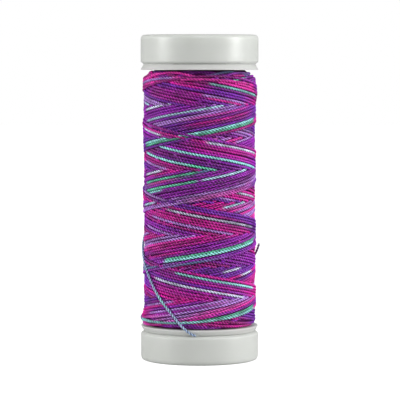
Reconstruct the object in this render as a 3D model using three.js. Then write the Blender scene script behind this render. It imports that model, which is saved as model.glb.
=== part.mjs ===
// A small spool of cotton thread: a moulded core with two flanges, a snap cap on each end, the thread wound
// on the core in crossing turns, and the two loose ends of the thread.
// Millimetres, +Z up along the spool's axis, origin at the centre of the lower cap's end face.
// Angles go round the axis from the front, -Y, towards the right, +X.
import * as THREE from "three";

// Driving dimensions.
const SPOOL_HEIGHT = 54.2;
const CAP_RADIUS = 9.8;
const CAP_HEIGHT = 4.85;
const PIN_HOLE_RADIUS = 3.25;
const CORE_RADIUS = 5.7;
const WALL = 0.95;
const RUNNING_GAP = 0.3; // between pieces that slide or lie in each other
const RIM_GAP = 0.12; // between a closed cap's rim and the flange
const THREAD_DIAMETER = 0.42;
const WOUND_RADIUS = 9.08; // half way between the crowns of the outer turns and the furrows between them

// End cap: a cup with a chamfered rim, a foot ring and a rim round the pin hole.
const CAP_FILLET = 0.6;
const CAP_PLATE = 1.0;
const RIM_RADIUS = 9.2; // root of the snap groove
const RIM_CHAMFER = 0.35;
const SKIRT_INNER_RADIUS = 8.7;
const FOOT_INNER_RADIUS = 7.7;
const PIN_RIM_RADIUS = 4.6;
const FACE_RECESS = 0.35;
const RECESS_DRAFT = 0.15;
const HOLE_CHAMFER = 0.25;
const CAP_TRAVEL = 1.6; // how far a cap slides out to open its groove
const SLEEVE_HOLD = 5.5; // length of sleeve still in the core tube when the cap is out
const SLEEVE_LENGTH = CAP_HEIGHT + CAP_TRAVEL + SLEEVE_HOLD;
const SLEEVE_RADIUS = CORE_RADIUS - WALL - RUNNING_GAP;

// Core tube and flanges. The caps close on the outer faces of the flanges.
const FLANGE_RADIUS = 9.75;
const FLANGE_THICKNESS = 0.85;
const FLANGE_LAND = 0.15;
const LOWER_FLANGE = CAP_HEIGHT + RIM_GAP;
const UPPER_FLANGE = SPOOL_HEIGHT - LOWER_FLANGE;
const BORE_EDGE = 0.2;

// Winding: its ends, shoulders, swellings and the crossing waves of its latest turns.
const WOUND_BOTTOM = LOWER_FLANGE + FLANGE_THICKNESS + RUNNING_GAP;
const WOUND_TOP = UPPER_FLANGE - FLANGE_THICKNESS - RUNNING_GAP;
const WOUND_INNER_RADIUS = CORE_RADIUS + RUNNING_GAP;
const UPPER_SHOULDER = { height: 1.8, drop: 1.0 };
const LOWER_SHOULDER = { height: 0.9, drop: 0.25 };
const SHOULDER_ROUNDNESS = 0.96; // 1 would end the shoulder upright against the flange
const SWELLINGS = [
  { angle: -90, z: 7.1, rise: 0.38, angleSpread: 42, zSpread: 1.3 },
  { angle: 90, z: 44.8, rise: 0.2, angleSpread: 50, zSpread: 1.3 },
  { angle: 70, z: 16.5, rise: 0.1, angleSpread: 60, zSpread: 2.2 },
  { angle: -80, z: 41.5, rise: 0.08, angleSpread: 50, zSpread: 2.5 },
];
const RISING_LEAD = 10.2; // height gained in one turn on the way up
const FALLING_LEAD = 11.0; // height lost in one turn on the way down
const LATEST_CROSSING = 37.4; // height at the front where the latest rising and falling turns cross
const WAVE_RISE = 0.065;
const WAVE_CREST = 0.3; // share of a second harmonic, which narrows the crests

const ROUND_SIDES = 60;
const WINDING_SIDES = 72;
const WINDING_ROWS = 44;
const FILLET_STEPS = 4;
const THREAD_SIDES = 8;
const THREAD_STEP = 2.4 * THREAD_DIAMETER;

const radians = THREE.MathUtils.degToRad;

// A solid of revolution about Z, from a closed outline of [radius, height] points.
function turned(outline, sides) {
  const points = [...outline, outline[0]].map(([r, z]) => new THREE.Vector2(r, z));
  return new THREE.LatheGeometry(points, sides).rotateX(Math.PI / 2);
}

// Points of a quarter circle round a centre, from one angle to the next.
function arc(centreRadius, centreZ, size, fromDegrees, toDegrees) {
  return Array.from({ length: FILLET_STEPS + 1 }, (_, i) => {
    const a = radians(fromDegrees + ((toDegrees - fromDegrees) * i) / FILLET_STEPS);
    return [centreRadius + size * Math.cos(a), centreZ + size * Math.sin(a)];
  });
}

// Heights are from the cap's end face, with the cap's rim upwards.
function capGeometry() {
  const outline = [
    [PIN_HOLE_RADIUS, HOLE_CHAMFER],
    [PIN_HOLE_RADIUS + HOLE_CHAMFER, 0],
    [PIN_RIM_RADIUS, 0],
    [PIN_RIM_RADIUS + RECESS_DRAFT, FACE_RECESS],
    [FOOT_INNER_RADIUS - RECESS_DRAFT, FACE_RECESS],
    [FOOT_INNER_RADIUS, 0],
    ...arc(CAP_RADIUS - CAP_FILLET, CAP_FILLET, CAP_FILLET, -90, 0),
    [CAP_RADIUS, CAP_HEIGHT - RIM_CHAMFER],
    [RIM_RADIUS, CAP_HEIGHT],
    [SKIRT_INNER_RADIUS, CAP_HEIGHT],
    [SKIRT_INNER_RADIUS, CAP_PLATE],
    [SLEEVE_RADIUS, CAP_PLATE],
    [SLEEVE_RADIUS, SLEEVE_LENGTH],
    [PIN_HOLE_RADIUS, SLEEVE_LENGTH],
  ];
  return turned(outline, ROUND_SIDES);
}

// The flange's rim is widest beside the thread and tapers towards the snap groove.
function barrelGeometry() {
  const bore = CORE_RADIUS - WALL;
  const lowerSide = [
    [bore + BORE_EDGE, LOWER_FLANGE],
    [RIM_RADIUS, LOWER_FLANGE],
    [FLANGE_RADIUS, LOWER_FLANGE + FLANGE_THICKNESS - FLANGE_LAND],
    [FLANGE_RADIUS, LOWER_FLANGE + FLANGE_THICKNESS],
    [CORE_RADIUS, LOWER_FLANGE + FLANGE_THICKNESS],
  ];
  const upperSide = lowerSide.map(([r, z]) => [r, SPOOL_HEIGHT - z]).reverse();
  const outline = [
    [bore, LOWER_FLANGE + BORE_EDGE],
    ...lowerSide,
    ...upperSide,
    [bore, UPPER_FLANGE - BORE_EDGE],
  ];
  return turned(outline, ROUND_SIDES);
}

// How much an elliptical shoulder takes off at a given depth into it, 0 to 1.
function shoulderCut(depth) {
  const t = THREE.MathUtils.clamp(depth, 0, 1);
  return 1 - Math.sqrt(1 - SHOULDER_ROUNDNESS * t * t);
}

// A wave of whole turns, with its crests a little narrower than its troughs.
function wave(turns) {
  const t = 2 * Math.PI * turns;
  return WAVE_RISE * (Math.cos(t) + WAVE_CREST * Math.cos(2 * t));
}

// The wound surface's radius at an angle and a height: the plain radius less the shoulders, plus the
// swellings, plus one wave along the rising turns and one along the falling turns.
function woundRadius(angle, z) {
  const upper = shoulderCut((z - (WOUND_TOP - UPPER_SHOULDER.height)) / UPPER_SHOULDER.height);
  const lower = shoulderCut((WOUND_BOTTOM + LOWER_SHOULDER.height - z) / LOWER_SHOULDER.height);
  let radius = WOUND_RADIUS - UPPER_SHOULDER.drop * upper - LOWER_SHOULDER.drop * lower;
  for (const s of SWELLINGS) {
    const away = Math.abs(((angle - s.angle + 540) % 360) - 180) / s.angleSpread;
    const along = (z - s.z) / s.zSpread;
    radius += s.rise * Math.exp(-away * away - along * along);
  }
  const turn = angle / 360;
  const rising = wave((z - LATEST_CROSSING) / RISING_LEAD - turn);
  const falling = wave((z - LATEST_CROSSING) / FALLING_LEAD + turn);
  return radius + rising + falling;
}

// A ring whose outer wall is moved out or in to the wound radius.
function windingGeometry() {
  const wall = Array.from({ length: WINDING_ROWS + 1 }, (_, i) => [
    WOUND_RADIUS,
    WOUND_BOTTOM + ((WOUND_TOP - WOUND_BOTTOM) * i) / WINDING_ROWS,
  ]);
  const outline = [[WOUND_INNER_RADIUS, WOUND_BOTTOM], ...wall, [WOUND_INNER_RADIUS, WOUND_TOP]];
  const geometry = turned(outline, WINDING_SIDES);
  const at = geometry.getAttribute("position");
  for (let i = 0; i < at.count; i++) {
    const [x, y, z] = [at.getX(i), at.getY(i), at.getZ(i)];
    const radius = Math.hypot(x, y);
    if (radius < WOUND_INNER_RADIUS + RUNNING_GAP) continue;
    const grow = woundRadius(THREE.MathUtils.radToDeg(Math.atan2(x, -y)), z) / radius;
    at.setXYZ(i, x * grow, y * grow, z);
  }
  return geometry;
}

// Routes of the two loose ends, as [angle in degrees, radius, height] of the thread's centre.
const TAIL_ROUTE = [
  [-176, 9.6, 28.95],
  [-162, 9.6, 27.6],
  [-148, 9.6, 26.15],
  [-134, 9.6, 24.6],
  [-120, 9.6, 22.9],
  [-106, 9.6, 21.05],
  [-92, 9.6, 19.15],
  [-80, 9.6, 17.4],
  [-70, 9.6, 15.8],
  [-60, 9.6, 14.1],
  [-50, 9.6, 12.2],
  [-41, 9.6, 10.5],
  [-32, 9.6, 9.0],
  [-25, 9.64, 7.8],
  [-19, 9.81, 6.75],
  [-14, 9.95, 6.05],
  [-10, 9.99, 5.5],
  [-6.4, 9.86, 5.14],
  [-3.6, 9.62, 4.95],
];
const END_ROUTE = [
  [252, 9.6, 4.95],
  [249.5, 9.82, 5.12],
  [246, 9.99, 5.5],
  [241, 9.98, 6.0],
  [234, 9.83, 6.6],
  [225, 9.68, 7.1],
  [214, 9.6, 7.7],
  [202, 9.6, 8.5],
  [190, 9.6, 9.4],
  [178, 9.6, 10.4],
  [166, 9.6, 11.5],
  [154, 9.6, 12.7],
  [143, 9.6, 13.8],
  [132, 9.6, 14.9],
  [122, 9.6, 15.9],
  [113, 9.6, 16.7],
  [105.5, 9.62, 17.35],
  [99.5, 9.76, 18.15],
  [94.5, 10.0, 19.3],
];

function pointAt([angle, radius, z]) {
  return new THREE.Vector3(radius * Math.sin(radians(angle)), -radius * Math.cos(radians(angle)), z);
}

// A length of thread: an eight-sided section swept along a smooth curve through the route's points.
function cordGeometry(route) {
  const path = new THREE.CatmullRomCurve3(route.map(pointAt));
  const section = new THREE.Shape(
    Array.from({ length: THREAD_SIDES }, (_, i) => {
      const a = (2 * Math.PI * i) / THREAD_SIDES;
      return new THREE.Vector2(Math.cos(a), Math.sin(a)).multiplyScalar(THREAD_DIAMETER / 2);
    }),
  );
  const steps = Math.round(path.getLength() / THREAD_STEP);
  return new THREE.ExtrudeGeometry(section, { steps, extrudePath: path, bevelEnabled: false });
}

function piece(name, geometry, material) {
  const mesh = new THREE.Mesh(geometry, material);
  mesh.name = name;
  return mesh;
}

function plastic(color) {
  return new THREE.MeshStandardMaterial({ color, roughness: 0.38, metalness: 0 });
}

function cotton(color) {
  return new THREE.MeshStandardMaterial({ color, roughness: 0.75, metalness: 0 });
}

const spool = new THREE.Group();
spool.add(piece("barrel", barrelGeometry(), plastic(0xe4e6e0)));
spool.add(piece("winding", windingGeometry(), cotton(0x8a2c8c)));
spool.add(piece("thread_tail", cordGeometry(TAIL_ROUTE), cotton(0xb9bfd8)));
spool.add(piece("thread_end", cordGeometry(END_ROUTE), cotton(0x8d7f9c)));
spool.add(piece("end_cap_bottom", capGeometry(), plastic(0xdfe2dc)));

// The upper cap is the same moulding, turned over.
const upperCap = piece("end_cap_top", capGeometry(), plastic(0xdfe2dc));
upperCap.rotation.x = Math.PI;
upperCap.position.z = SPOOL_HEIGHT;
spool.add(upperCap);

export default spool;
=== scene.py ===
# %% [markdown]
# # A small spool of hand-dyed cotton thread
#
# The spool is a moulded tube with two flanges and a snap cap on each end. Some 46 m of two-ply cotton is
# wound on it in crossing turns, in magenta, purple, lilac and sea green.
#
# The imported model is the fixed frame, and this lesson dresses it: the plastic is turned again with finer
# edges, and the thread is laid turn by turn, as the winding machine lays it. All is worked out in millimetres
# and put into the meshes in metres.

import bpy
import numpy as np
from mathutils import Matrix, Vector


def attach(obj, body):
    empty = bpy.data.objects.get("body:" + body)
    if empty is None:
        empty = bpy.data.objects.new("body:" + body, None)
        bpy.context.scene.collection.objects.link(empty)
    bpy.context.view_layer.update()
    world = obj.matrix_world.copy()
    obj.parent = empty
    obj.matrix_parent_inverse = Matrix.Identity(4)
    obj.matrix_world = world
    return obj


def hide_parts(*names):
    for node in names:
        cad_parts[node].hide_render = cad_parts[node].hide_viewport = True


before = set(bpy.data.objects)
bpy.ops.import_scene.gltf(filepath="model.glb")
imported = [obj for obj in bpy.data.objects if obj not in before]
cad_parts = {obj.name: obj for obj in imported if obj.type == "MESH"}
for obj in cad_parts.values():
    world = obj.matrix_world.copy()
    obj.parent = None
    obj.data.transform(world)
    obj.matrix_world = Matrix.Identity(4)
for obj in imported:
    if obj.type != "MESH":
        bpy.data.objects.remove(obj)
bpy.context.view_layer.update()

MM = 0.001

# %% [markdown]
# ## The camera
#
# The photograph looks at the front of the spool from about 39 cm away, and from almost the height of the
# upper groove: the grooves and flanges there are nearly straight lines, and the lower ones are bowed. A long
# lens from that place gives the same bow. The spool's axis falls a little left of the picture's centre.

# %% Camera at the photograph's angle
CAMERA_PLACE = Vector((0, -389.0, 49.2))
CAMERA_AIM = Vector((0.075, 0, 26.675))
LENS = 210.0
SENSOR_WIDTH = 36.0

camera_data = bpy.data.cameras.new("photo_camera")
camera_data.sensor_width = SENSOR_WIDTH
camera_data.lens = LENS
camera_data.clip_start, camera_data.clip_end = 0.01, 20.0  # metres
camera = bpy.data.objects.new("photo_camera", camera_data)
camera.location = CAMERA_PLACE * MM
camera.rotation_euler = (CAMERA_AIM - CAMERA_PLACE).to_track_quat("-Z", "Y").to_euler()
bpy.context.scene.collection.objects.link(camera)
bpy.context.scene.camera = camera

# %% [markdown]
# ## From arrays to meshes
#
# Every new piece is worked out as a numpy array of points and an array of four-cornered faces. One helper
# writes both into a mesh. It also prints the volume that the faces enclose, because that is an easy test of
# their direction: it comes out positive only where they look outwards.

# %% Meshes from arrays
def enclosed_volume(points, faces):
    """Volume inside closed faces: the sum of a . (b x c) / 6 and a . (c x d) / 6 over faces a, b, c, d."""
    a, b, c, d = (points.reshape(-1, 3)[faces[:, i]] for i in range(4))
    return (np.sum(a * np.cross(b, c)) + np.sum(a * np.cross(c, d))) / 6


def make_object(name, points, faces):
    """A shown object at the origin, from points in mm and faces as rows of four point numbers."""
    mesh = bpy.data.meshes.new(name)
    mesh.vertices.add(points.size // 3)
    mesh.vertices.foreach_set("co", (points * MM).ravel())
    mesh.loops.add(faces.size)
    mesh.loops.foreach_set("vertex_index", faces.ravel())
    mesh.polygons.add(len(faces))
    mesh.polygons.foreach_set("loop_start", np.arange(0, faces.size, 4))
    mesh.polygons.foreach_set("use_smooth", np.ones(len(faces), bool))
    mesh.update(calc_edges=True)
    shown = bpy.data.objects.new(name, mesh)
    bpy.context.scene.collection.objects.link(shown)
    return shown


def make_piece(name, points, faces, body):
    """A new piece of the model, which rides on a body."""
    piece = make_object(name, points, faces)
    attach(piece, body)
    print(f"{name}: {2 * len(faces)} triangles, {enclosed_volume(points, faces):.1f} cubic mm")
    return piece


# %% [markdown]
# ## A length of plied thread
#
# The thread is two strands twisted round each other, so its section is a figure of eight that turns as it
# goes along. It has eight points on the narrow wound turns and sixteen on the loose ends. They turn with the
# twist, so the edges of the mesh follow the two strands, and the lobes stay sharp with few faces.

# %% The thread's section and sweep
TWIST_PITCH = 1.14  # mm of thread in one full turn of its two strands
GROOVE_RADIUS = 0.13  # from the thread's middle to the groove between the strands
LOOSE_STRAND = 0.215  # and to the crown of a strand, on a loose end
WOUND_STRAND = 0.24  # the same where the thread is wound and pressed flatter


def lobe_radius(sides, strand_radius):
    """Radius of the two-strand section at its points, from the groove's to the strand's radius.

    Between the two it follows 0.5 + 0.5 * cos(twice the angle), to the power 0.8."""
    share = np.arange(sides) / sides
    wide = 0.5 + 0.5 * np.cos(4 * np.pi * share)
    return GROOVE_RADIUS + (strand_radius - GROOVE_RADIUS) * wide**0.8


def unit(vectors):
    """The same directions with length 1."""
    return vectors / np.linalg.norm(vectors, axis=-1, keepdims=True)


def plied_rings(path, along, lengths, reach):
    """Rings of points round a path beside the spool's axis.

    Point k of a ring lies at k / sides of a turn plus the twist so far, measured from the outward direction
    towards the side: centre + reach * (out * cos + side * sin). The reach has one row for each ring, or one
    row for all, and one column for each side."""
    sides = reach.shape[1]
    side = unit(np.cross(along, path * (1, 1, 0)))
    out = np.cross(side, along)
    by = 2 * np.pi * (np.arange(sides) / sides + lengths[:, None] / TWIST_PITCH)
    ring = out[:, None] * np.cos(by)[..., None] + side[:, None] * np.sin(by)[..., None]
    return path[:, None] + ring * reach[..., None]


def tube_faces(first, last, sides):
    """Faces of closed tubes, each from a first to a last ring.

    Between rings i and i + 1 the corners are (i, k), (i, k + 1), (i + 1, k + 1), (i + 1, k). A ladder of
    quads shuts each end, three on eight points and seven on sixteen."""
    ring = np.setdiff1d(np.arange(last[-1] + 1), last)[:, None]
    k = np.arange(sides)[None, :]
    after = (k + 1) % sides
    here, beyond = ring * sides, (ring + 1) * sides
    wall = np.stack([here + k, here + after, beyond + after, beyond + k], -1)
    step = np.arange(sides // 2 - 1)
    rungs = np.stack([step, step + 1, sides - 2 - step, sides - 1 - step], -1)
    shut_last = last[:, None, None] * sides + rungs[None]
    shut_first = first[:, None, None] * sides + rungs[None, :, ::-1]
    return np.concatenate([part.reshape(-1, 4) for part in (wall, shut_first, shut_last)])


# %% [markdown]
# ## The two loose ends
#
# One end leaves the last wound turn at the back, comes round the left side, runs down across the front and is
# caught in the lower snap groove. The other starts in that groove at the back and shows only at the right
# edge, where it is cut. They lie on the curves of their CAD solids, but round the left side and the back the
# tail lies a tenth of a millimetre closer. A plain round tube would look like wire, so they get the plied
# section.

# %% Smooth routes
def columns_at(x, at, rows, **options):
    """Rows of numbers given at some places, interpolated at x column by column."""
    return np.stack([np.interp(x, at, column, **options) for column in np.transpose(rows)], -1)


def centripetal_curve(points, spacing):
    """A centripetal Catmull-Rom curve through the points, resampled to even steps of about the given spacing.

    Between two points the curve is a cubic whose tangents come from the neighbours, weighted by the square
    roots of the distances between points. The end tangents come from points mirrored beyond the ends."""
    p = np.vstack([2 * points[:1] - points[1:2], points, 2 * points[-1:] - points[-2:-1]])
    gap = np.sqrt(np.linalg.norm(np.diff(p, axis=0), axis=1))[:, None]
    slope = np.diff(p, axis=0) / gap
    tangent = (slope[:-1] * gap[1:] + slope[1:] * gap[:-1]) / (gap[1:] + gap[:-1])
    t = np.linspace(0, 1, 60, endpoint=False)[:, None, None]  # fine steps, to measure by
    start, end, reach = p[1:-2], p[2:-1], gap[1:-1]
    m0, m1 = tangent[:-1] * reach, tangent[1:] * reach
    fine = start + (3 * t**2 - 2 * t**3) * (end - start) + (t**3 - 2 * t**2 + t) * m0 + (t**3 - t**2) * m1
    fine = np.vstack([fine.transpose(1, 0, 2).reshape(-1, 3), points[-1:]])
    travelled = np.concatenate([[0], np.cumsum(np.linalg.norm(np.diff(fine, axis=0), axis=1))])
    even = np.linspace(0, travelled[-1], round(travelled[-1] / spacing) + 1)
    return columns_at(even, travelled, fine), even


def on_spool(angle, radius, height):
    """Points from degrees round the axis, where 0 is the front and 90 the right, a radius and a height."""
    a = np.radians(angle)
    return np.stack(np.broadcast_arrays(radius * np.sin(a), -radius * np.cos(a), height), -1)


# Angle, radius and height along each route.
TAIL_ROUTE = np.array([
    (-176, 9.45, 28.95), (-162, 9.45, 27.6), (-148, 9.45, 26.15), (-134, 9.45, 24.6), (-120, 9.45, 22.9),
    (-106, 9.45, 21.05), (-92, 9.45, 19.15), (-80, 9.48, 17.4), (-70, 9.52, 15.8), (-60, 9.56, 14.1),
    (-50, 9.6, 12.2), (-41, 9.6, 10.5), (-32, 9.6, 9.0), (-25, 9.64, 7.8), (-19, 9.81, 6.75),
    (-14, 9.95, 6.05), (-10, 9.99, 5.5), (-6.4, 9.86, 5.14), (-3.6, 9.62, 4.95),
])
END_ROUTE = np.array([
    (252, 9.6, 4.95), (249.5, 9.82, 5.12), (246, 9.99, 5.5), (241, 9.98, 6.0), (234, 9.83, 6.6),
    (225, 9.68, 7.1), (214, 9.6, 7.7), (202, 9.6, 8.5), (190, 9.6, 9.4), (178, 9.6, 10.4), (166, 9.6, 11.5),
    (154, 9.6, 12.7), (143, 9.6, 13.8), (132, 9.6, 14.9), (122, 9.6, 15.9), (113, 9.6, 16.7),
    (105.5, 9.62, 17.35), (99.5, 9.76, 18.15), (94.5, 10.0, 19.3),
])

# %% [markdown]
# Each loose end is one closed tube that rides with the spool. A cut end is drawn a little thinner over its
# last half millimetre, as cut thread is where its strands close up.

# %% The loose ends as plied thread
CORD_SIDES = 16
CORD_STEP = 0.08
TIP = 0.5


def narrowed(distance, share):
    """Size of the section at a distance from an end: 1 less the share times (1 - distance / tip) squared."""
    return 1 - share * np.clip(1 - distance / TIP, 0, 1) ** 2


def loose_thread(name, route, replaced, narrows):
    """A plied tube along the route, narrowed at its start and its end by two shares."""
    path, travelled = centripetal_curve(on_spool(*route.T), CORD_STEP)
    size = narrowed(travelled, narrows[0]) * narrowed(travelled[-1] - travelled, narrows[1])
    reach = lobe_radius(CORD_SIDES, LOOSE_STRAND) * size[:, None]
    rings = plied_rings(path, unit(np.gradient(path, axis=0)), travelled, reach)
    faces = tube_faces(np.array([0]), np.array([len(path) - 1]), CORD_SIDES)
    piece = make_piece(name, rings, faces, "spool")
    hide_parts(replaced)
    print(f"{name}: {travelled[-1]:.1f} mm of thread in {len(path)} rings")
    return piece, travelled


tail, tail_travelled = loose_thread("tail_thread", TAIL_ROUTE, "thread_tail", (0.0, 0.35))
stub, stub_travelled = loose_thread("end_thread", END_ROUTE, "thread_end", (0.35, 0.25))

# %% [markdown]
# ## How the machine lays the thread
#
# The spool turns and a guide runs up and down beside it. Going up, the thread gains 10.2 mm in a turn, and
# going down it loses 11.0 mm, so the latest rising and falling turns cross in long lozenges. One trip up and
# down takes a little over eight turns, and that little puts each new turn one thread's width beside the one
# that was laid a trip earlier. Near the flanges the guide turns back, never at quite the same height, and
# leaves arches at the top and cups at the bottom.
#
# The thread could be one long helix pushed out to the surface, but then crossings would run through each
# other. So the laying is worked out in order, oldest turns first, on a chart of the surface.

# %% Path of the guide
RISING_LEAD = 10.2
FALLING_LEAD = 11.0
CROSSING = 37.4  # height at the front where the latest rising and falling turns cross
TRIP_TURNS = 8.0444
TRIPS = 34
COLUMNS = 800
random = np.random.default_rng(7)

turns_per_mm = 1 / RISING_LEAD + 1 / FALLING_LEAD
TOP_CORNER = CROSSING + 2 / turns_per_mm
BOTTOM_CORNER = TOP_CORNER - TRIP_TURNS / turns_per_mm
top_turn = (TOP_CORNER - CROSSING) / RISING_LEAD
bottom_turn = top_turn - (TOP_CORNER - BOTTOM_CORNER) / RISING_LEAD
LEAVING = 2.25  # turns: at the right side the last turn starts to run down more steeply
LEAVING_DROP = 41.4  # mm, times the square of the turns since then
TAIL_TURN = 2 + 184 / 360  # where the loose end takes over, at the back
FIRST_TURNS = 3  # laid close together against the upper flange
FIRST_HEIGHT = 48.1
THREAD_WIDTH = 0.42
TOP_ROUNDING, BOTTOM_ROUNDING = (0.4, 2.4), (1.4, 2.0)  # mm: the least, and how much more at most
PEAK_LIFT, PEAK_TURNS = 0.3, 0.1  # some tips at the top run a little higher
GUIDE_SHAKE, GUIDE_DRIFT = (90, 0.035), (500, 0.04)  # places from draw to draw, and mm

turn = np.arange(np.floor(-TRIPS * TRIP_TURNS * COLUMNS), TAIL_TURN * COLUMNS + 1) / COLUMNS


def rounded_corner(turn, corner, lead_before, lead_after, sizes, drawn):
    """Distance from the corner's height: lead times turns from the corner, with a parabola for its tip.

    Where the distance d is less than the rounding q, it becomes (d * d + q * q) / (2 * q). Each trip has its
    own q: the least size plus a share of the rest, drawn at random."""
    rounding = sizes[0] + sizes[1] * drawn**1.5
    trip = np.rint((corner - turn) / TRIP_TURNS).astype(int)
    away = turn - (corner - trip * TRIP_TURNS)
    distance = np.abs(away) * np.where(away < 0, lead_before, lead_after)
    q = rounding[np.clip(trip, 0, len(rounding) - 1)]
    return np.where(distance < q, (distance**2 + q**2) / (2 * q), distance), away, trip


def slow_noise(count, step, size):
    """Smooth random numbers: one drawn every so many places, joined by a cosine ramp."""
    drawn = random.normal(0, size, count // step + 3)
    place = np.arange(count) / step
    i = place.astype(int)
    mix = 0.5 - 0.5 * np.cos(np.pi * (place - i))
    return drawn[i] * (1 - mix) + drawn[i + 1] * mix


top_draw = random.random(TRIPS + 2)
bottom_draw = random.random(TRIPS + 2)
bottom_draw[:5] = 0.86, 0.8, 0.2, 0.1, 0.3  # the latest two cups are the flattest
below_top, from_top, top_trip = rounded_corner(
    turn, top_turn, RISING_LEAD, FALLING_LEAD, TOP_ROUNDING, top_draw)
above_bottom, _, _ = rounded_corner(
    turn, bottom_turn, FALLING_LEAD, RISING_LEAD, BOTTOM_ROUNDING, bottom_draw)
sharpness = 1 - top_draw[np.clip(top_trip, 0, TRIPS + 1)]
lift = PEAK_LIFT * sharpness * np.exp(-((from_top / PEAK_TURNS) ** 2))
near_top = below_top < (TOP_CORNER - BOTTOM_CORNER) / 2
height = np.where(near_top, TOP_CORNER - below_top + lift, BOTTOM_CORNER + above_bottom)
height += slow_noise(len(turn), *GUIDE_SHAKE) + slow_noise(len(turn), *GUIDE_DRIFT)

height -= LEAVING_DROP * np.clip(turn - LEAVING, 0, None) ** 2
wound = turn - turn[0]
height = np.where(wound < FIRST_TURNS, FIRST_HEIGHT - THREAD_WIDTH * wound, height)
print(f"{len(turn)} places on {turn[-1] - turn[0]:.0f} turns,"
      f" heights {height.min():.2f} to {height.max():.2f} mm")

# %% [markdown]
# ## Laying it, turn on turn
#
# The chart has 800 columns round the spool and a row every 0.066 mm of height, and holds the level that the
# thread has reached. Each trip of the guide rests on the highest thing under it. A taut thread doesn't follow
# each bump: from a crown it runs straight on, which on a round spool means that it sinks by the square of the
# distance over the spool's diameter. So the level under the thread is the highest of all such parabolas.
# Cotton is soft, though, and a pile of crossings is pressed down, so no thread comes to lie far above the
# mean level around it.

# %% Laying the thread on a chart
ROW = 0.066
LOWER_FLANGE, UPPER_FLANGE = 5.82, 48.38  # heights of the flanges' inner faces
ROWS = round((UPPER_FLANGE - LOWER_FLANGE) / ROW)
CHART_RADIUS = 9.2
COLUMN = 2 * np.pi * CHART_RADIUS / COLUMNS
LAID_RADIUS = 0.225
PRESSED_RADIUS = 0.165  # threads bed into what they cross
PILE = 0.2  # highest contact above the mean level
PILE_BLUR = 2.2  # mm over which that level is taken
SPAN = 34  # columns on either side that can hold a taut thread up
sag = (np.arange(-SPAN, SPAN + 1) * COLUMN) ** 2 / (2 * CHART_RADIUS)
column = np.rint(turn * COLUMNS).astype(int) % COLUMNS
row = np.clip((height - LOWER_FLANGE) / ROW, 0, ROWS - 1).astype(int)


def blurred(chart, width):
    """The chart under a bell-shaped blur of a width in mm, by Fourier transform.

    The chart is mirrored at the flanges first, so that its ends keep their level."""
    both = np.concatenate([chart, chart[:, ::-1]], axis=1)
    round_waves = np.fft.fftfreq(both.shape[0])[:, None] * width / COLUMN
    high_waves = np.fft.rfftfreq(both.shape[1])[None] * width / ROW
    bell = np.exp(-2 * np.pi**2 * (round_waves**2 + high_waves**2))
    return np.fft.irfft2(np.fft.rfft2(both) * bell, s=both.shape)[:, :chart.shape[1]]


def footprint(heights, reach):
    """Chart rows under a thread and how far each row's middle is from the thread's centre line."""
    rows = np.rint((heights[:, None] - LOWER_FLANGE) / ROW - 0.5) + np.arange(-reach, reach + 1)
    rows = np.clip(rows, 0, ROWS - 1).astype(int)
    return rows, LOWER_FLANGE + (rows + 0.5) * ROW - heights[:, None]


def lay(strokes):
    """Level of the thread's centre at each place, the chart of levels, and the place on top in each cell."""
    level = np.zeros((COLUMNS, ROWS))
    top_place = np.full((COLUMNS, ROWS), -1)
    centre = np.zeros(len(turn))
    for first, last in strokes:
        here = slice(first, last)
        columns = column[here, None]
        rows, _ = footprint(height[here], 2)
        before = max(first - SPAN, 0)
        contact = np.concatenate([centre[before:first] - PRESSED_RADIUS, level[columns, rows].max(axis=1)])
        windows = np.lib.stride_tricks.sliding_window_view(np.pad(contact, SPAN, mode="edge"), 2 * SPAN + 1)
        taut = (windows - sag).max(axis=1)[first - before:]
        highest = blurred(level, PILE_BLUR)[column[here], row[here]] + PILE
        centre[here] = np.minimum(taut, highest) + PRESSED_RADIUS
        rows, off = footprint(height[here], 3)
        surface = centre[here, None] + np.sqrt(np.clip(LAID_RADIUS**2 - off**2, 0, None))
        covered = np.abs(off) < LAID_RADIUS
        level[columns, rows] = np.where(covered, surface, level[columns, rows])
        place = np.arange(first, last)[:, None]
        top_place[columns, rows] = np.where(covered, place, top_place[columns, rows])
    return centre, level, top_place


back = TRIP_TURNS * np.arange(TRIPS + 2)
corners = np.searchsorted(turn, [top_turn - back, bottom_turn - back])
cuts = np.unique(np.append(corners, (0, len(turn))))
centre, level, top_place = lay(list(zip(cuts[:-1], cuts[1:])))
print(f"{len(cuts) - 1} strokes laid, levels {level.min():.2f} to {level.max():.2f} mm")

# %% [markdown]
# ## The wound form
#
# The chart's levels are the small relief. The large form is the photograph's: a barrel of nearly one radius,
# rounded off at the top, with a bulge low on the left where turns have slipped outwards. It has the same
# shoulders and swellings as the CAD solid. The relief is what a thread stands above or below the mean level
# around it, and it is added to the form. Where a later thread covers a place, the thread there runs under it.

# %% Radius of the wound surface
MEAN_RADIUS = 9.27
TOP_SHOULDER = (46.9, 1.4, 1.4)  # where it starts, how tall it is, and how far the radius drops
BOTTOM_SHOULDER = (6.92, -0.9, 0.25)
SWELLINGS = (
    # angle, height, rise, then width in degrees and height of the bell
    (-90, 7.1, 0.38, 42, 1.3), (90, 44.8, 0.2, 50, 1.3), (70, 16.5, 0.1, 60, 2.2), (-80, 41.5, 0.08, 50, 2.5),
)


def shoulder(height, start, tall, drop):
    """Drop of the radius on a shoulder: nearly a straight bevel, the share of its height to the power 1.3."""
    return drop * np.clip((height - start) / tall, 0, 1) ** 1.3


def form_radius(angle, height):
    """Mean radius of the wound surface: plain radius less both shoulders, plus a bell for each swelling."""
    radius = MEAN_RADIUS - shoulder(height, *TOP_SHOULDER) - shoulder(height, *BOTTOM_SHOULDER)
    for at, z, rise, wide, tall in SWELLINGS:
        away = ((angle - at + 540) % 360 - 180) / wide
        radius = radius + rise * np.exp(-(away**2) - ((height - z) / tall) ** 2)
    return radius


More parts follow.
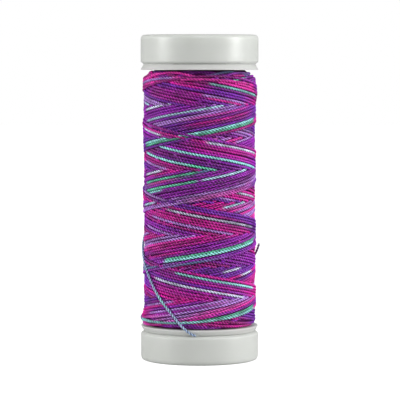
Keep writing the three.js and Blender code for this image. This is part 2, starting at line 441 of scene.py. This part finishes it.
RELIEF = 0.4  # share of the chart's relief that is left once the winding has settled
RELIEF_RANGE = (-0.4, 0.3)  # mm of the chart's relief that count
RELIEF_BLUR = 2.4  # mm over which the level around a thread is taken
SUNK = 0.1  # a thread's centre lies this far under the form, so that its crown stands a little above it
UNDERPASS = 0.32  # how far a covered thread's centre lies under the later surface
TO_TAIL = 0.09  # turns over which the last turn rises to the loose end


def evened(values):
    """Mean over seven places, which is half a millimetre of thread."""
    return np.convolve(np.pad(values, 3, mode="edge"), np.ones(7) / 7, mode="valid")


angle = turn * 360
uppermost = top_place[column, row] == np.arange(len(turn))
relief = np.where(uppermost, centre - blurred(level, RELIEF_BLUR)[column, row], 0)
weight = evened(uppermost.astype(float))
relief = evened(relief) / np.maximum(weight, 0.1)
thread_radius = form_radius(angle, height) + RELIEF * np.clip(relief, *RELIEF_RANGE) - SUNK
row_height = LOWER_FLANGE + (np.arange(ROWS) + 0.5) * ROW
owner = np.maximum(top_place, 0)
off_centre = np.clip(np.abs(row_height - height[owner]), 0, LAID_RADIUS)
settled = thread_radius[owner] + np.sqrt(LAID_RADIUS**2 - off_centre**2)
beneath = settled[column, row] - LAID_RADIUS - UNDERPASS
thread_radius = evened(np.where(uppermost, thread_radius, np.minimum(thread_radius, beneath)))
to_tail = np.clip(1 - (turn[-1] - turn) / TO_TAIL, 0, 1)
ease = to_tail**2 * (3 - 2 * to_tail)
thread_radius = thread_radius * (1 - ease) + TAIL_ROUTE[0, 1] * ease
print(f"thread centres at radius {np.percentile(thread_radius[uppermost], 1):.2f}"
      f" to {thread_radius.max():.2f} mm")

# %% [markdown]
# Most of the thread is out of sight. A stretch is kept where the chart has it on top, run on for four places
# at both ends so that it starts and stops under what covers it. Slivers of a few places are dropped.

# %% Stretches that show
RING_EVERY = 2  # places from ring to ring, a seventh of a millimetre
LEAST_SEEN = 5  # places on top in a stretch that is kept
on_top = np.isin(np.arange(len(turn)), top_place)
on_top = np.convolve(on_top, np.ones(9), mode="same") > 0.5
on_top[-COLUMNS // 4:] = True  # the last quarter turn, up to the loose end
places = np.flatnonzero(on_top[::RING_EVERY]) * RING_EVERY
new_run = np.concatenate([[True], np.diff(places) > RING_EVERY])
run = np.cumsum(new_run) - 1
seen = np.bincount(run, uppermost[places])
keep = seen[run] >= LEAST_SEEN
places, run = places[keep], run[keep]
print(f"{len(places)} rings in {len(np.unique(run))} stretches of thread,"
      f" {len(places) * COLUMN * RING_EVERY * MM:.1f} m")

# %% [markdown]
# ## Dye
#
# The thread was dyed by hand before it was wound: runs of magenta, purple, lilac, pale blue and sea green,
# each some centimetres long, fading into each other. Wound up, a run shows as a streak along one thread and
# on one or two neighbours. The order of the dyes repeats every 46 cm, a little less than the thread of one
# trip, so like colours land beside each other, as they do on the real spool.

# %% Dye along the thread
def linear(shown):
    """Linear light from a colour as shown on a screen, 0 to 255."""
    shown = np.array(shown) / 255
    return np.where(shown > 0.04045, ((shown + 0.055) / 1.055) ** 2.4, shown / 12.92)


DYES = {name: linear(shown) for name, shown in {
    "magenta": (204, 2, 150), "rose": (228, 40, 168), "plum": (150, 2, 122), "purple": (146, 20, 168),
    "violet": (116, 28, 164), "lilac": (170, 122, 202), "pale": (198, 204, 226), "ice": (176, 216, 232),
    "teal": (140, 214, 212), "green": (92, 196, 160), "slate": (84, 112, 150), "haze": (142, 168, 196),
    "dusk": (118, 102, 134),
}.items()}
DYE_ORDER = (
    ("magenta", 38), ("purple", 52), ("plum", 30), ("magenta", 24), ("violet", 50), ("lilac", 24),
    ("purple", 52), ("slate", 8), ("purple", 42), ("rose", 16), ("lilac", 24), ("magenta", 44),
    ("violet", 58),
)
THREAD_PER_TURN = 58.6  # mm
FADE = 5.0  # mm over which a dye gives way to the next, on either side
DYE_WANDER = (2400, 9.0)  # places from draw to draw, and mm by which the order slips along the thread


def dye_along(travelled):
    """Colour at each length of thread: each dye holds for its run, with a straight ramp to the next."""
    ends = np.cumsum([length for _, length in DYE_ORDER])
    starts = np.concatenate([[0], ends[:-1]])
    stops = np.stack([starts + FADE, ends - FADE], -1).ravel()
    colours = np.repeat([DYES[name] for name, _ in DYE_ORDER], 2, axis=0)
    return columns_at(travelled % ends[-1], stops, colours, period=ends[-1])


travelled = (turn[-1] - turn) * THREAD_PER_TURN
dye = dye_along(travelled + slow_noise(len(turn), *DYE_WANDER))
print(f"{travelled[0] / 1000:.1f} m of thread were laid, and the dyes repeat every "
      f"{sum(length for _, length in DYE_ORDER)} mm")

# %% [markdown]
# The eye goes to the pale streaks and to broad patches of one dye. Each is one row of a chart: a dye, how
# many threads wide it is, and the angles and heights that it runs through. The passes of thread that follow
# the row best take the dye, so a streak always lies along a thread, as dye does. Each row is used again
# behind, half a turn on and upside down. Last, the dye gets a little uneven from place to place.

# %% Patches and streaks
# Each row: dye, number of threads, then an angle and a height for each point.
PATCHES = (
    ("magenta", 4, -76, 45.3, 14, 42.8), ("violet", 3, -8, 45.2, 73, 43.4),
    ("violet", 5, -76, 40.0, 14, 43.1), ("magenta", 4, -25, 39.1, 73, 42.0),
    ("magenta", 3, -78, 39.3, -16, 38.0), ("magenta", 5, -26, 36.8, 73, 34.0),
    ("violet", 4, -70, 35.6, 70, 31.9), ("magenta", 3, -73, 34.0, -7, 32.2),
    ("magenta", 2, -76, 30.9, -3, 32.3), ("magenta", 2, -76, 29.5, -15, 30.8),
    ("purple", 4, -49, 28.2, 73, 31.1), ("purple", 3, -80, 25.9, 0, 28.2),
    ("purple", 3, -80, 39.4, -30, 41.0), ("rose", 3, -20, 27.3, 73, 29.5),
    ("violet", 3, -20, 26.9, 22, 25.8), ("magenta", 5, -56, 25.1, 73, 21.8),
    ("violet", 3, -70, 24.3, 5, 21.6), ("magenta", 4, -76, 18.7, 70, 22.7),
    ("magenta", 2, -76, 17.3, -3, 19.6), ("violet", 4, 9, 17.6, 73, 19.0),
    ("magenta", 3, -76, 17.6, -15, 16.0, 77, 13.3), ("violet", 4, -59, 15.1, 73, 11.8),
    ("magenta", 6, -70, 13.0, 37, 10.7), ("violet", 3, -76, 8.1, 22, 10.5),
    ("rose", 2, -15, 8.8, 73, 9.8), ("magenta", 2, -80, 6.2, -40, 6.6, 0, 7.7, 30, 8.6),
    ("magenta", 3, 0, 7.1, 30, 6.3, 75, 6.3),
)
STREAKS = (
    ("slate", 1, -60, 48.1, 20, 47.9), ("teal", 1, -74, 35.7, 0, 38.2, 74, 40.3),
    ("green", 1, -74, 35.3, 0, 37.8, 74, 39.9), ("teal", 1, -53, 36.0, 0, 34.6, 79, 32.1),
    ("teal", 1, -74, 34.8, -5, 32.8), ("green", 1, -15, 33.1, 32, 31.9), ("green", 1, -76, 28.4, 0, 30.4),
    ("teal", 1, -76, 28.0, -40, 28.9), ("ice", 1, 0, 30.2, 66, 32.0), ("green", 1, -74, 29.7, 0, 31.8),
    ("green", 1, -41, 17.3, 74, 20.4), ("teal", 1, -41, 16.9, 74, 20.0),
    ("teal", 1, -84, 7.1, -40, 6.9, 0, 7.2, 30, 7.7, 75, 8.9),
    ("green", 1, -84, 6.8, -40, 6.8, 0, 7.3, 30, 8.0, 75, 9.3), ("teal", 1, -28, 15.2, 74, 12.2),
    ("pale", 1, -55, 14.1, 56, 10.8), ("teal", 1, 8, 45.9, 79, 44.2),
    ("rose", 3, -74, 46.1, -10, 46.8, 74, 45.2), ("lilac", 1, -87, 46.7, -25, 47.3),
    ("green", 1, 34, 46.4, 58, 47.4), ("ice", 1, -71, 39.9, 36, 42.6), ("pale", 1, -74, 41.4, -24, 42.9),
    ("ice", 1, -79, 43.1, -51, 42.5), ("lilac", 1, 0, 44.3, 56, 42.6), ("rose", 1, 5, 44.0, 45, 42.7),
    ("pale", 1, -77, 38.6, -40, 37.6), ("lilac", 1, -77, 33.3, -33, 32.2),
    ("pale", 1, 23, 37.7, 33, 37.4), ("pale", 1, 15, 36.7, 32, 37.1), ("rose", 1, 26, 36.5, 62, 37.7),
    ("lilac", 1, 37, 36.2, 74, 37.3), ("pale", 1, 5, 36.6, 79, 34.5), ("pale", 1, -74, 31.3, -40, 32.0),
    ("lilac", 1, -79, 28.1, -33, 27.0), ("ice", 1, -77, 25.8, -50, 26.5),
    ("lilac", 1, -31, 27.2, 58, 29.8), ("pale", 1, 39, 28.2, 79, 26.9), ("lilac", 1, 18, 27.4, 41, 26.7),
    ("ice", 1, 23, 25.7, 58, 26.7), ("lilac", 1, 0, 26.4, 15, 26.7), ("pale", 1, -37, 25.6, 70, 22.4),
    ("lilac", 1, -60, 24.5, 45, 21.3), ("lilac", 1, -71, 22.9, -28, 21.4),
    ("lilac", 1, -79, 19.3, 0, 21.4), ("lilac", 1, -74, 9.4, -25, 10.8), ("lilac", 1, -65, 8.4, 34, 10.9),
    ("pale", 1, 23, 15.2, 49, 16.0), ("pale", 1, 46, 14.6, 70, 15.4),
)
TOLERANCE = 0.23  # mm: half a thread
WRONG_WAY = 0.5  # mm added to the distance of a pass that climbs where the row falls
HARDLY_SEEN = 0.3  # share of a pass that has to be in sight
NEVER = 9.0  # mm: a distance that no row accepts
SPOOL_HEIGHT = 54.2
DYE_UNEVEN = ((9, 0.15), (30, 0.12), (300, 0.18))  # places from draw to draw, and share


def streak_strength(points, threads, fade):
    """How strongly a row dyes each place: 1 on the passes of thread that follow its line best, 0 elsewhere.

    A pass is one crossing of the row's range of angles, and its distance is the mean gap to the line. Towards
    the row's ends the strength falls to 0 over the given number of degrees."""
    at, z = points.T
    front = (angle - at[0]) % 360
    inside = front <= at[-1] - at[0]
    number = (np.diff(inside.astype(int), prepend=0) > 0).cumsum() * inside
    line = np.interp(front, at - at[0], z)
    line_climbs = np.interp(front + 1, at - at[0], z) > np.interp(front - 1, at - at[0], z)
    gap = np.abs(height - line) + WRONG_WAY * (climbs != line_climbs)
    places_in_pass = np.maximum(np.bincount(number), 1)
    shows = np.bincount(number, well_seen) / places_in_pass
    cost = np.where(shows > HARDLY_SEEN, np.bincount(number, gap) / places_in_pass, NEVER)
    cost[0] = NEVER  # pass 0 is all the thread outside the range
    chosen = np.argsort(cost)[:threads]
    chosen = chosen[cost[chosen] < TOLERANCE * (threads + 1.6)]
    ends = np.clip(np.minimum(front, at[-1] - at[0] - front) / fade, 0, 1)
    return np.isin(number, chosen) * inside * ends * well_seen


climbs = np.gradient(height) > 0
well_seen = np.zeros(len(turn))
well_seen[places[seen[run] >= 30]] = 1  # stretches of two millimetres or more
well_seen = np.maximum(well_seen, np.roll(well_seen, 1))
patchy = np.clip(0.6 + slow_noise(len(turn), 400, 0.3), 0, 1)  # patches let some of the first dye through
missed = 0
for chart, fade, hold in ((PATCHES, 25, patchy), (STREAKS, 6, 1.0)):
    for name, threads, *numbers in chart:
        points = np.reshape(numbers, (-1, 2))
        for line in (points, (180, SPOOL_HEIGHT) - points[::-1]):
            strength = (streak_strength(line, threads, fade) * hold)[:, None]
            missed += not strength.any()
            dye = dye * (1 - strength) + DYES[name] * strength
dye = dye * (1 + sum(slow_noise(len(turn), *unevenness) for unevenness in DYE_UNEVEN))[:, None]
print(f"{2 * len(PATCHES)} patches and {2 * len(STREAKS)} streaks, {missed} of them found no thread")

# %% [markdown]
# ## The wound thread as meshes
#
# Each stretch that shows becomes a closed plied tube. All of them together are too many faces for one piece,
# so they are divided into layers by age, from the oldest turns that show to the latest. Each layer's mesh
# carries the dye and the grooves of the ply at its points, a map that runs along the yarn for the fibres, and
# a map of neat rows for the textures of the finished model.

# %% Layers of wound thread
LAYERS = 6
WOUND_SIDES = 8
WOUND_MAP_ROWS, LOOSE_MAP_ROWS = 36, 8
MAP_MARGIN = 0.004  # of the map's width, left bare all round


def row_map(first, last, sides, rows_high):
    """A flat map of closed tubes: ring after ring in rows, as text runs on a page.

    Each band of faces between two rings has one slot, and so has each shut end; slot number n lies in row
    n // slots in a row. Around the tube the faces fill the row's height."""
    rings, rungs = np.arange(last[-1] + 1), sides // 2 - 1
    ring = np.setdiff1d(rings, last)
    before = np.cumsum(np.isin(rings, first))  # shut ends so far, two slots each
    groups = ((ring + before[ring] * 2, sides), (first + before[first] * 2 - 1, rungs),
              (last + before[last] * 2, rungs))
    slot = np.concatenate([np.repeat(slots, count) for slots, count in groups])
    low = np.concatenate([np.tile(np.arange(count) / count, len(slots)) for slots, count in groups])
    tall = np.concatenate([np.full(len(slots) * count, 1 / count) for slots, count in groups])
    per_row = int(np.ceil((slot.max() + 1) / rows_high))
    x, y = slot % per_row, slot // per_row
    u = (x[:, None] + np.array([0, 0, 1, 1])) / per_row
    in_row = low[:, None] + tall[:, None] * np.array([0, 1, 1, 0])
    v = (y[:, None] + 0.04 + 0.92 * in_row) / rows_high  # a twelfth of each row stays bare between the rows
    return MAP_MARGIN + (1 - 2 * MAP_MARGIN) * np.stack([u, v], -1)


def add_map(mesh, name, coordinates):
    """A named UV map from an array of one pair for each face corner."""
    mesh.uv_layers.new(name=name).data.foreach_set("uv", coordinates.astype(np.float32).ravel())


def add_yarn_data(piece, faces, sides, lengths, colours, rows_high, first, last):
    """Dye and groove at each point, the map along the yarn and the map of rows.

    The groove is 0.5 - 0.5 * cos(twice the angle), to the power 1.5. The yarn map holds mm along the thread,
    and turns round it from a line that twists with the strands."""
    mesh = piece.data
    share = np.arange(sides) / sides
    groove = (0.5 - 0.5 * np.cos(4 * np.pi * share)) ** 1.5
    rgba = np.ones((len(colours), sides, 4))
    rgba[..., :3] = colours[:, None]
    mesh.color_attributes.new("dye", "FLOAT_COLOR", "POINT").data.foreach_set("color", rgba.ravel())
    mesh.attributes.new("groove", "FLOAT", "POINT").data.foreach_set("value", np.tile(groove, len(colours)))
    ring, k = faces // sides, faces % sides
    wrapped = np.where((k == 0) & (np.max(k, axis=1, keepdims=True) == sides - 1), sides, k)
    around = wrapped / sides + lengths[ring] / TWIST_PITCH
    add_map(mesh, "yarn", np.stack([lengths[ring], around], -1))
    add_map(mesh, "OFBake", row_map(first, last, sides, rows_high))


path = on_spool(angle, thread_radius, height)
layer_ends = np.linspace(0, len(places), LAYERS + 1)[1:-1]
layer = np.searchsorted(layer_ends, np.arange(len(places)))
layer = layer[np.searchsorted(run, run)]  # a stretch stays whole
wound_reach = lobe_radius(WOUND_SIDES, WOUND_STRAND)[None]
wound_layers = []
for number in range(LAYERS):
    chosen = layer == number
    here, runs = places[chosen], run[chosen]
    last = np.append(np.flatnonzero(np.diff(runs)), len(runs) - 1)
    first = np.append(0, last[:-1] + 1)
    along = unit(path[np.minimum(here + 1, len(turn) - 1)] - path[np.maximum(here - 1, 0)])
    lengths = travelled[0] - travelled[here]
    rings = plied_rings(path[here], along, lengths, wound_reach)
    faces = tube_faces(first, last, WOUND_SIDES)
    piece = make_piece(f"wound_thread_{number + 1}", rings, faces, "spool")
    add_yarn_data(piece, faces, WOUND_SIDES, lengths, dye[here], WOUND_MAP_ROWS, first, last)
    wound_layers.append(piece)

# %% [markdown]
# The loose ends go on in their own dyes: the tail fades from purple at the back to a grey blue in front, and
# the short end is nearly grey where it is cut.

# %% The loose ends' dye
def dye_loose_end(piece, travelled, stops):
    """Dye along a loose end: straight ramps between pairs of a length in mm and a dye."""
    at, names = zip(*stops)
    colours = columns_at(travelled, at, [DYES[name] for name in names])
    colours *= (1 + slow_noise(len(travelled), 20, 0.05))[:, None]
    first, last = np.array([0]), np.array([len(travelled) - 1])
    faces = tube_faces(first, last, CORD_SIDES)
    add_yarn_data(piece, faces, CORD_SIDES, travelled, colours, LOOSE_MAP_ROWS, first, last)
    print(f"{piece.name} goes from {names[0]} to {names[-1]}")


dye_loose_end(tail, tail_travelled,
              ((0, "purple"), (8, "lilac"), (15, "haze"), (26, "haze"), (29, "teal"), (32, "haze")))
dye_loose_end(stub, stub_travelled, ((0, "magenta"), (10, "purple"), (22, "violet"), (26, "dusk")))

# %% [markdown]
# ## Under the turns
#
# Between neighbouring threads the eye can look down to older turns. They are all hidden but for slivers, so a
# plain ring stands for them, just under the lowest threads that show. Its colour is painted shade: near-black
# purple, as the older turns look in the shadows between threads.

# %% Ring of older turns
def closed_ring(outline, sides):
    """Points and faces of a solid turned about the axis, from a closed outline of radius and height."""
    n = len(outline)
    points = on_spool(360 * np.arange(sides)[:, None] / sides, *outline.T)
    i, j = np.meshgrid(np.arange(sides) * n, np.arange(n), indexing="ij")
    i2, j2 = (i + n) % (sides * n), (j + 1) % n
    return points, np.stack([i + j, i2 + j, i2 + j2, i + j2], -1).reshape(-1, 4)


UNDER = 0.36  # how far the ring lies under the form
UNDER_ENDS = np.array([5.92, 48.34])
INNER_RADIUS = 6.0
LEVELS = 80
wall = np.stack([np.full(LEVELS, MEAN_RADIUS), np.linspace(*UNDER_ENDS, LEVELS)], -1)
outline = np.vstack([[INNER_RADIUS, UNDER_ENDS[0]], wall, [INNER_RADIUS, UNDER_ENDS[1]]])
points, faces = closed_ring(outline, 144)
round_angle = np.degrees(np.arctan2(points[..., 0], -points[..., 1]))
swollen = (form_radius(round_angle, points[..., 2]) - UNDER) / MEAN_RADIUS
grow = np.where(outline[:, 0] > INNER_RADIUS, swollen, 1)
points[..., :2] *= grow[..., None]
under = make_piece("wound_core", points, faces, "spool")
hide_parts("winding")
for piece in wound_layers:
    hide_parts("winding")

# %% [markdown]
# ## The moulded plastic
#
# The core tube, its flanges and the caps are turned shapes, so each is a closed outline carried round the
# axis. The outlines are the CAD's, but every corner gets a small round edge: a parabola from a little before
# the corner to a little after it. Real mouldings have such edges, and the bright lines in the photograph are
# the light in them.

# %% Rounded outlines
def rounded(outline, cut):
    """Each corner P replaced by a curve from A to B, its points (1-t)^2 A + 2t(1-t) P + t^2 B.

    A and B lie the cut away along the two sides, or at most 0.45 of the side."""
    before, after = (np.roll(outline, step, axis=0) - outline for step in (1, -1))
    reach = np.broadcast_to(cut, len(outline))
    a_long, b_long = np.linalg.norm(before, axis=1), np.linalg.norm(after, axis=1)
    a = outline + before * (np.minimum(reach, 0.45 * a_long) / a_long)[:, None]
    b = outline + after * (np.minimum(reach, 0.45 * b_long) / b_long)[:, None]
    t = np.linspace(0, 1, 6)[None, :, None]
    curve = (1 - t) ** 2 * a[:, None] + 2 * t * (1 - t) * outline[:, None] + t**2 * b[:, None]
    return curve.reshape(-1, 2)


CAP_RADIUS, CAP_HEIGHT, CAP_FLOOR, CAP_INSIDE = 9.8, 4.85, 1.0, 8.7
PIN_HOLE, SLEEVE, SLEEVE_END = 3.25, 4.45, 11.95
RECESS = 0.35
CAP_OUTLINE = np.array([
    # radius, height above the end face, size of the round edge
    (PIN_HOLE, 0.0, 0.25), (4.6, 0.0, 0.1), (4.75, RECESS, 0.08), (7.55, RECESS, 0.08), (7.7, 0.0, 0.1),
    (CAP_RADIUS, 0.0, 0.75), (CAP_RADIUS, 4.5, 0.12), (9.3, CAP_HEIGHT, 0.08), (CAP_INSIDE, CAP_HEIGHT, 0.08),
    (CAP_INSIDE, CAP_FLOOR, 0.2), (SLEEVE, CAP_FLOOR, 0.2), (SLEEVE, SLEEVE_END, 0.15),
    (PIN_HOLE, SLEEVE_END, 0.15),
])
TUBE_INSIDE, TUBE_OUTSIDE = 4.75, 5.7
FLANGE_RADIUS, FLANGE_FACE = 9.75, 4.88
HALF_BARREL = np.array([
    (TUBE_INSIDE, 5.08, 0.0), (4.95, FLANGE_FACE, 0.05), (9.3, FLANGE_FACE, 0.05),
    (FLANGE_RADIUS, 5.67, 0.07), (FLANGE_RADIUS, LOWER_FLANGE, 0.07), (TUBE_OUTSIDE, LOWER_FLANGE, 0.15),
])
PLASTIC_SIDES = 216
LONGEST = 1.2  # mm from point to point along an outline


def divided(outline):
    """The outline with points added at even steps on its long sides, so that no face is a sliver."""
    after = np.roll(outline, -1, axis=0)
    steps = np.maximum(1, np.ceil(np.linalg.norm(after - outline, axis=1) / LONGEST).astype(int))
    start = np.repeat(np.arange(len(outline)), steps)
    t = (np.arange(len(start)) - np.repeat(np.cumsum(steps) - steps, steps)) / steps[start]
    return outline[start] + (after - outline)[start] * t[:, None]


def turned_piece(name, outline, body, replaced):
    """A moulding from its outline of radius, height and edge, in place of one CAD node."""
    points, faces = closed_ring(divided(rounded(outline[:, :2], outline[:, 2])), PLASTIC_SIDES)
    piece = make_piece(name, points, faces, body)
    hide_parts(replaced)
    return piece


def upside_down(outline):
    """The same outline at the other end of the spool: its heights counted down from the top."""
    return outline[::-1] * (1, -1, 1) + (0, SPOOL_HEIGHT, 0)


core = turned_piece("spool_core", np.vstack([HALF_BARREL, upside_down(HALF_BARREL)]), "spool", "barrel")
lower_cap = turned_piece("lower_cap", CAP_OUTLINE, "bottom_cap", "end_cap_bottom")
upper_cap = turned_piece("upper_cap", upside_down(CAP_OUTLINE), "top_cap", "end_cap_top")

# %% [markdown]
# ## Shader maths as expressions
#
# A finish is a small network of nodes. Written node by node it is hard to read, so a value that varies over
# the surface is wrapped in a class, and arithmetic on it adds the Math nodes. Every other node comes
# from one method, which takes its type, its settings and what its sockets get.

# %% Finishes
class Varying:
    """A socket whose value varies over the surface, with arithmetic that adds Math nodes."""

    def __init__(self, tree, socket):
        self.tree, self.socket = tree, socket

    def maths(self, operation, a, b=0.0, clamp=False):
        settings = {"operation": operation, "use_clamp": clamp}
        return Varying(self.tree, add_node(self.tree, "ShaderNodeMath", settings, {0: a, 1: b}).outputs[0])

    def __add__(self, other): return self.maths("ADD", self, other)
    def __radd__(self, other): return self.maths("ADD", other, self)
    def __sub__(self, other): return self.maths("SUBTRACT", self, other)
    def __rsub__(self, other): return self.maths("SUBTRACT", other, self)
    def __mul__(self, other): return self.maths("MULTIPLY", self, other)
    def __rmul__(self, other): return self.maths("MULTIPLY", other, self)
    def clamped(self): return self.maths("ADD", self, 0.0, clamp=True)


def feed(tree, socket, value):
    """A link where the value varies, else the socket's own value."""
    if isinstance(value, Varying):
        value = value.socket
    if isinstance(value, bpy.types.NodeSocket):
        tree.links.new(value, socket)
    else:
        socket.default_value = value


def add_node(tree, kind, settings, sockets):
    """One node of a type: its settings first, then what its sockets get."""
    made = tree.nodes.new(kind)
    for key, value in settings.items():
        setattr(made, key, value)
    for key, value in sockets.items():
        feed(tree, made.inputs[key], value)
    return made


class Finish:
    """A material being made, on a cleared node tree with one Principled shader."""

    def __init__(self, name, constants):
        self.material = bpy.data.materials.new(name)
        self.material.use_nodes = True
        self.tree = self.material.node_tree
        self.tree.nodes.clear()
        self.shader = self.node("ShaderNodeBsdfPrincipled", {}, constants)
        self.node("ShaderNodeOutputMaterial", {}, {"Surface": self.shader.outputs[0]})
        print(f"finish {name}: {len(constants)} values set on the shader")

    def node(self, kind, settings, sockets):
        return add_node(self.tree, kind, settings, sockets)

    def feed(self, socket_name, value):
        """What varies over the surface, to one of the shader's own sockets."""
        feed(self.tree, self.shader.inputs[socket_name], value)

    def varying(self, kind, settings, output):
        """A value read from the mesh or the scene."""
        return Varying(self.tree, self.node(kind, settings, {}).outputs[output])

    def noise(self, vector, scale, detail=3.0, roughness=0.5):
        """Cloudy noise from 0 to 1."""
        sockets = {"Vector": vector, "Scale": scale, "Detail": detail, "Roughness": roughness}
        return Varying(self.tree, self.node("ShaderNodeTexNoise", {}, sockets).outputs[0])

    def stretched(self, source, scale):
        """A map's coordinates, stretched."""
        return self.node("ShaderNodeMapping", {}, {"Vector": source, "Scale": scale}).outputs[0]

    def mixed(self, factor, a, b, blend="MIX"):
        """Two colours mixed by a varying factor."""
        made = self.node("ShaderNodeMix", {"data_type": "RGBA", "blend_type": blend}, {0: factor, 6: a, 7: b})
        return made.outputs[2]

    def bump(self, height, distance, strength):
        """A low relief of a height in metres, into the shader's normal."""
        made = self.node("ShaderNodeBump", {}, {"Height": height, "Distance": distance, "Strength": strength})
        self.feed("Normal", made.outputs[0])


# %% [markdown]
# ## Dyed cotton
#
# The dye comes from the mesh. Painted light and shade are multiplied into it: lighter on the strands' crowns,
# darker in the ply's grooves. Fine streaks along the yarn stand for its fibres, in colour and as a low bump.
# Cotton of this kind has a soft sheen, so the shader gets some, and pale flecks on the crowns are a painted
# sheen highlight.

# %% Cotton finish
cotton = Finish("dyed_cotton", {
    "Sheen Weight": 0.15, "Sheen Roughness": 0.3,
    "Specular IOR Level": 0.5, "Specular Tint": (1.0, 0.62, 1.0, 1),
})
yarn = cotton.node("ShaderNodeUVMap", {"uv_map": "yarn"}, {}).outputs[0]
fibres = cotton.noise(cotton.stretched(yarn, (1.1, 26.0, 1.0)), 1.0, 2.0, 0.6)
strands = cotton.noise(cotton.stretched(yarn, (3.0, 7.0, 1.0)), 1.0, 1.0)
groove = cotton.varying("ShaderNodeAttribute", {"attribute_name": "groove"}, "Fac")
dye_colour = cotton.node("ShaderNodeAttribute", {"attribute_name": "dye"}, {}).outputs["Color"]
# Painted light and shade: lighter on the strands' crowns, darker in the ply's grooves; the fibre and strand
# noise is uneven tone.
shade = 1.56 - 1.54 * groove + 0.6 * (fibres - 0.5) + 1.3 * (strands - 0.5)
grey = cotton.node("ShaderNodeCombineColor", {}, {0: shade, 1: shade, 2: shade}).outputs[0]
# Painted highlight: pale lilac flecks on the strands' crowns stand for the cotton's sheen.
crown_sheen = ((strands - 0.52) * 4.0).clamped() * (1 - groove) * 0.38
shaded_dye = cotton.mixed(1.0, dye_colour, grey, "MULTIPLY")
cotton.feed("Base Color", cotton.mixed(crown_sheen, shaded_dye, (0.72, 0.5, 0.78, 1)))
cotton.feed("Roughness", (0.3 + 0.3 * groove + 0.16 * (strands - 0.5)).clamped())
cotton.bump(fibres * 0.7 + strands * 0.5, 0.02 * MM, 0.8)
for piece in [*wound_layers, tail, stub]:
    piece.data.materials.append(cotton.material)

# Painted shade: the older turns get the near-black of the shadows between threads, not their dye.
shadowed = Finish("cotton_in_shadow", {"Roughness": 0.8, "Specular IOR Level": 0.1})
spots = shadowed.noise(shadowed.node("ShaderNodeTexCoord", {}, {}).outputs["Object"], 900.0)
shadowed.feed("Base Color", shadowed.mixed(spots, (0.04, 0.003, 0.05, 1), (0.12, 0.01, 0.10, 1)))
under.data.materials.append(shadowed.material)

# %% [markdown]
# ## Satin plastic
#
# The caps and flanges are an unfilled, slightly milky plastic. Light goes a millimetre or two into it and
# comes out again, so thin rims glow and shadows in the grooves stay pale. Moulding leaves a faint satin grain
# and broad, weak clouds.

# %% Plastic finish
plastic = Finish("satin_plastic", {
    "Subsurface Weight": 0.6, "Subsurface Radius": (1.0, 1.05, 0.95), "Subsurface Scale": 2.4 * MM,
    "Specular IOR Level": 0.45,
})
space = plastic.node("ShaderNodeTexCoord", {}, {}).outputs["Object"]
clouds = plastic.noise(space, 160.0, 2.0)
grain = plastic.noise(space, 5200.0, 3.0, 0.6)
plastic.feed("Base Color", plastic.mixed(clouds, (0.60, 0.622, 0.585, 1), (0.66, 0.678, 0.645, 1)))
plastic.feed("Roughness", 0.34 + 0.12 * (grain - 0.5) + 0.1 * (clouds - 0.5))
plastic.bump(grain + clouds * 2.0, 0.012 * MM, 0.5)
for piece in (core, lower_cap, upper_cap):
    piece.data.materials.append(plastic.material)

# %% [markdown]
# ## Floor and light
#
# The photograph was taken in a light tent, so everything round the spool is white. The camera sees a white
# floor, but that floor sends only a little light up to the spool.

# %% Floor
FLOOR_HEIGHT = -0.02  # a hair below the cap, so that the two faces don't coincide
FLOOR_SIDES = 96
FLOOR_SHINE = 0.15  # what it sends to the spool, where 1 is white
floor_outline = np.array([(radius, FLOOR_HEIGHT) for radius in (1500, 600, 200, 80, 30, 0.001)])
points, faces = closed_ring(floor_outline, FLOOR_SIDES)
faces = faces.reshape(FLOOR_SIDES, -1, 4)[:, :-1].reshape(-1, 4)  # the last band would lead back to the rim
floor = make_object("floor", points, faces)
floor_paint = Finish("pale_floor", {
    "Roughness": 0.9, "Specular IOR Level": 0.0,
    "Base Color": (0.35, 0.35, 0.35, 1), "Emission Strength": 1.0,
})
is_seen = floor_paint.varying("ShaderNodeLightPath", {}, "Is Camera Ray")
floor_paint.feed("Emission Color", floor_paint.mixed(is_seen, (*[FLOOR_SHINE] * 3, 1), (1, 1, 1, 1)))
floor.data.materials.append(floor_paint.material)

# %% [markdown]
# In the photograph the flanks of the round shapes are brighter than the middle that faces the camera. So a
# broad soft light stands on either side, the right one a little stronger, and a weak one above puts a line of
# light on the upper edges. The rest is the tent itself, a white sky that shines at about a third of what the
# camera sees.

# %% Lights
SPOOL_MIDDLE = Vector((0, 0, 27))


def soft_light(name, place, size, power):
    """A square area light of a size in mm and a power in watts that looks at the spool's middle."""
    data = bpy.data.lights.new(name, "AREA")
    data.size, data.energy = size * MM, power
    light = bpy.data.objects.new(name, data)
    light.location = Vector(place) * MM
    light.rotation_euler = (SPOOL_MIDDLE - Vector(place)).to_track_quat("-Z", "Y").to_euler()
    bpy.context.scene.collection.objects.link(light)


soft_light("left_light", (-420, -120, 130), 180, 1.1)
soft_light("right_light", (420, -120, 130), 180, 1.5)
soft_light("top_light", (0, -330, 330), 140, 0.42)

TENT_SHINE, TENT_SEEN = 0.375, 1.0
world = bpy.data.worlds.new("light_tent")
bpy.context.scene.world = world
world.use_nodes = True
tent = world.node_tree
tent.nodes.clear()
ray = add_node(tent, "ShaderNodeLightPath", {}, {})
strength = add_node(tent, "ShaderNodeMix", {"data_type": "FLOAT"},
                    {0: ray.outputs["Is Camera Ray"], 2: TENT_SHINE, 3: TENT_SEEN})
sky = add_node(tent, "ShaderNodeBackground", {}, {"Color": (1, 1, 1, 1), "Strength": strength.outputs[0]})
add_node(tent, "ShaderNodeOutputWorld", {}, {"Surface": sky.outputs[0]})
bpy.context.scene.view_settings.view_transform = "Standard"
print("3 lights and a tent that shines at", TENT_SHINE)
